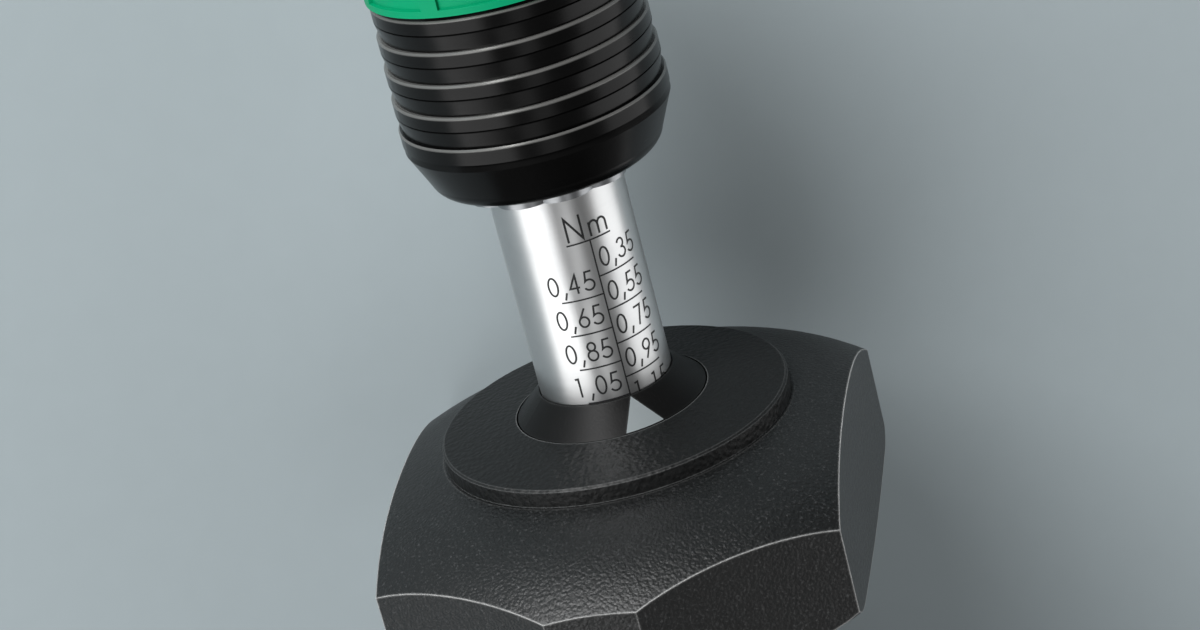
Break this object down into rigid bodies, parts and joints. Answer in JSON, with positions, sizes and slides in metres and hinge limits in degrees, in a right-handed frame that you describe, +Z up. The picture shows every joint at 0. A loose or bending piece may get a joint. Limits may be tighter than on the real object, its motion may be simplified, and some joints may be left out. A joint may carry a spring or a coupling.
{
  "type": "torque screwdriver",
  "caption": "Adjustable torque screwdriver with a scale sleeve read at a triangle, a slipping clutch in the handle and a quick-release bit chuck.",
  "frame": {"origin": "on the ground plane under the middle of the tool as it lies on its side", "axes": "+X along the tool from the handle to the tip, +Z up, the tool's axis level"},
  "size_m": [0.155, 0.0408, 0.039],
  "materials": {
    "handle_plastic": "fine spark-eroded grain",
    "grip_rubber": "soft, smooth",
    "disc_plastic": "coarse leather-like grain",
    "ring_plastic": "fine grain",
    "pointer_print": "flat print",
    "scale_metal": "satin anodised, silver white",
    "grey_metal": "satin",
    "sleeve_metal": "black anodised, bright at the edges",
    "green_plastic": "semi-gloss emerald green",
    "holder_steel": "polished",
    "steel": "ground",
    "spring_steel": "drawn wire",
    "bronze": "plain",
    "magnet_metal": "nickel plated",
    "seal_rubber": "plain"
  },
  "bodies": {
    "handle": {"handle_body": "handle_plastic", "grip_pad_1": "grip_rubber", "grip_pad_2": "grip_rubber", "grip_pad_3": "grip_rubber", "grip_pad_4": "grip_rubber", "front_disc": "disc_plastic", "end_cap": "handle_plastic", "pointer_ring": "ring_plastic", "pointer_mark": "pointer_print", "thread_bush": "bronze", "drag_ring": "seal_rubber", "front_spring_seat": "steel", "main_spring": "spring_steel"},
    "clutch_driver": {"driver_cam": "steel", "clutch_balls": "steel", "rear_spring_seat": "steel"},
    "scale_sleeve": {"scale_tube": "scale_metal", "tube_bush_front": "bronze", "tube_bush_rear": "bronze", "adjusting_collar": "grey_metal", "thrust_washer": "bronze"},
    "shaft": {"drive_shaft": "steel", "driven_cam": "steel", "cam_pin": "steel", "shaft_clip": "spring_steel", "bit_holder": "holder_steel", "bit_magnet": "magnet_metal", "locking_ball": "steel", "holder_pin": "steel", "holder_washer": "steel", "stop_washer": "steel", "snap_ring": "spring_steel", "chuck_spring": "spring_steel"},
    "spring_ring": {"slide_ring": "steel"},
    "chuck_sleeve": {"ribbed_sleeve": "sleeve_metal", "colour_ring": "green_plastic"}
  },
  "joints": [
    {"name": "torque_travel", "type": "slide", "parent": "handle", "child": "clutch_driver", "axis": [1, 0, 0], "range_m": [-0.00937, 0.00187], "deforming": ["main_spring"]},
    {"name": "scale_turn", "type": "hinge", "parent": "clutch_driver", "child": "scale_sleeve", "pos_m": [0.03, 0, 0.01948], "axis": [1, 0, 0], "range_deg": [-2700, 540]},
    {"name": "shaft_spin", "type": "hinge", "parent": "clutch_driver", "child": "shaft", "pos_m": [0.03, 0, 0.01948], "axis": [1, 0, 0], "continuous": true},
    {"name": "sleeve_slide", "type": "slide", "parent": "shaft", "child": "spring_ring", "axis": [1, 0, 0], "range_m": [0, 0.0025], "stiffness_N_per_m": 600, "springref_m": -0.003, "deforming": ["chuck_spring"]},
    {"name": "sleeve_spin", "type": "hinge", "parent": "spring_ring", "child": "chuck_sleeve", "pos_m": [0.057, 0, 0.01948], "axis": [1, 0, 0], "continuous": true}
  ],
  "couplings": [
    {"joint": "scale_turn", "follows": "torque_travel", "rad_per_m": 5026.5}
  ]
}
